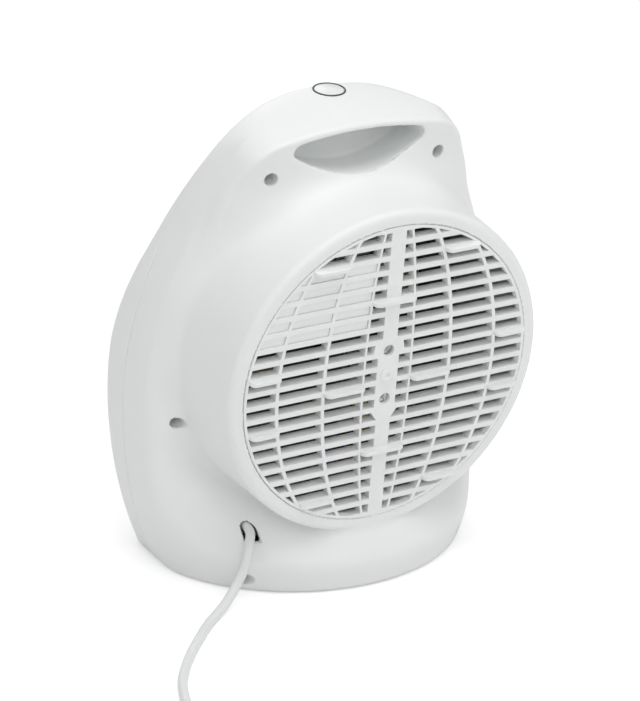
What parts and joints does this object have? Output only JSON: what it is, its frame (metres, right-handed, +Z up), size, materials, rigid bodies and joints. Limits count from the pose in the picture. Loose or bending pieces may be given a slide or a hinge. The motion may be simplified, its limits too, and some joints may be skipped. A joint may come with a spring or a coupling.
{
  "type": "upright fan heater",
  "caption": "Free-standing upright fan heater with a moulded two-part body, round rear inlet grille, handle pocket, front outlet, two control knobs and a mains cord.",
  "frame": {"origin": "on the floor under the middle of the heater, at the underside of its feet; the cord, its coil and its plug are left out of the middle", "axes": "+Z up; -Y is the front, where the warm air leaves; +Y is the rear with the inlet grille; +X is the side where the cord leaves the body"},
  "size_m": [0.3107, 0.4128, 0.297],
  "materials": {
    "white_shell": "satin moulded",
    "white_plain": "satin moulded",
    "foot_rubber": "matt",
    "zinc_steel": "zinc plated",
    "badge_grey": "satin",
    "dark_plastic": "matt moulded",
    "black_steel": "matt black",
    "core_steel": "laminated",
    "coil_tape": "taped",
    "bronze": "sintered",
    "mica": "mica board",
    "heater_alloy": "heat dulled",
    "phenolic": "phenolic",
    "phenolic_light": "ceramic",
    "dial_grey": "satin",
    "amber_lens": "clear amber",
    "wire_brown": "insulation",
    "wire_red": "insulation",
    "wire_blue": "insulation",
    "cord_white": "soft sheath",
    "brass_nickel": "nickel plated"
  },
  "bodies": {
    "housing": {"rear_shell": "white_shell", "front_shell": "white_shell", "base_plate": "white_shell", "rubber_feet": "foot_rubber", "rear_grille": "white_shell", "blanking_plate": "white_plain", "shell_screws": "zinc_steel", "motor_screws": "zinc_steel", "badge_ring": "badge_grey", "badge_disc": "white_plain", "outlet_bezel": "dark_plastic", "outlet_grille": "black_steel", "air_duct": "dark_plastic", "duct_screws": "zinc_steel", "motor_stack": "core_steel", "motor_coil": "coil_tape", "motor_bracket_rear": "zinc_steel", "motor_bracket_front": "zinc_steel", "motor_rivets": "zinc_steel", "motor_bearings": "bronze", "mica_frame": "mica", "heater_ribbon": "heater_alloy", "thermal_cutout": "phenolic", "thermal_fuse": "mica", "dial_plate": "dial_grey", "thermostat_body": "phenolic_light", "switch_body": "phenolic", "control_nuts": "zinc_steel", "pilot_lens": "amber_lens", "pilot_lamp": "amber_lens", "terminal_block": "white_plain", "mains_leads": "wire_brown", "heater_leads": "wire_red", "motor_leads": "wire_blue", "cord_clamp": "white_plain", "small_screws": "zinc_steel", "power_cord": "cord_white", "cord_coil": "cord_white", "plug_body": "cord_white", "plug_pins": "brass_nickel"},
    "fan": {"rotor": "core_steel", "impeller": "dark_plastic", "impeller_clip": "zinc_steel"},
    "thermostat": {"thermostat_shaft": "zinc_steel", "thermostat_knob": "white_plain"},
    "switch": {"switch_shaft": "zinc_steel", "switch_knob": "white_plain"}
  },
  "joints": [
    {"name": "fan_spin", "type": "hinge", "parent": "housing", "child": "fan", "pos_m": [0, 0.00679, 0.14733], "axis": [0, -0.9903, 0.1392], "continuous": true},
    {"name": "thermostat_turn", "type": "hinge", "parent": "housing", "child": "thermostat", "pos_m": [0.022, -0.02812, 0.26533], "axis": [0, 0.8235, -0.5673], "range_deg": [0, 280]},
    {"name": "switch_turn", "type": "hinge", "parent": "housing", "child": "switch", "pos_m": [-0.022, -0.02812, 0.26533], "axis": [0, 0.8235, -0.5673], "range_deg": [0, 270]}
  ]
}
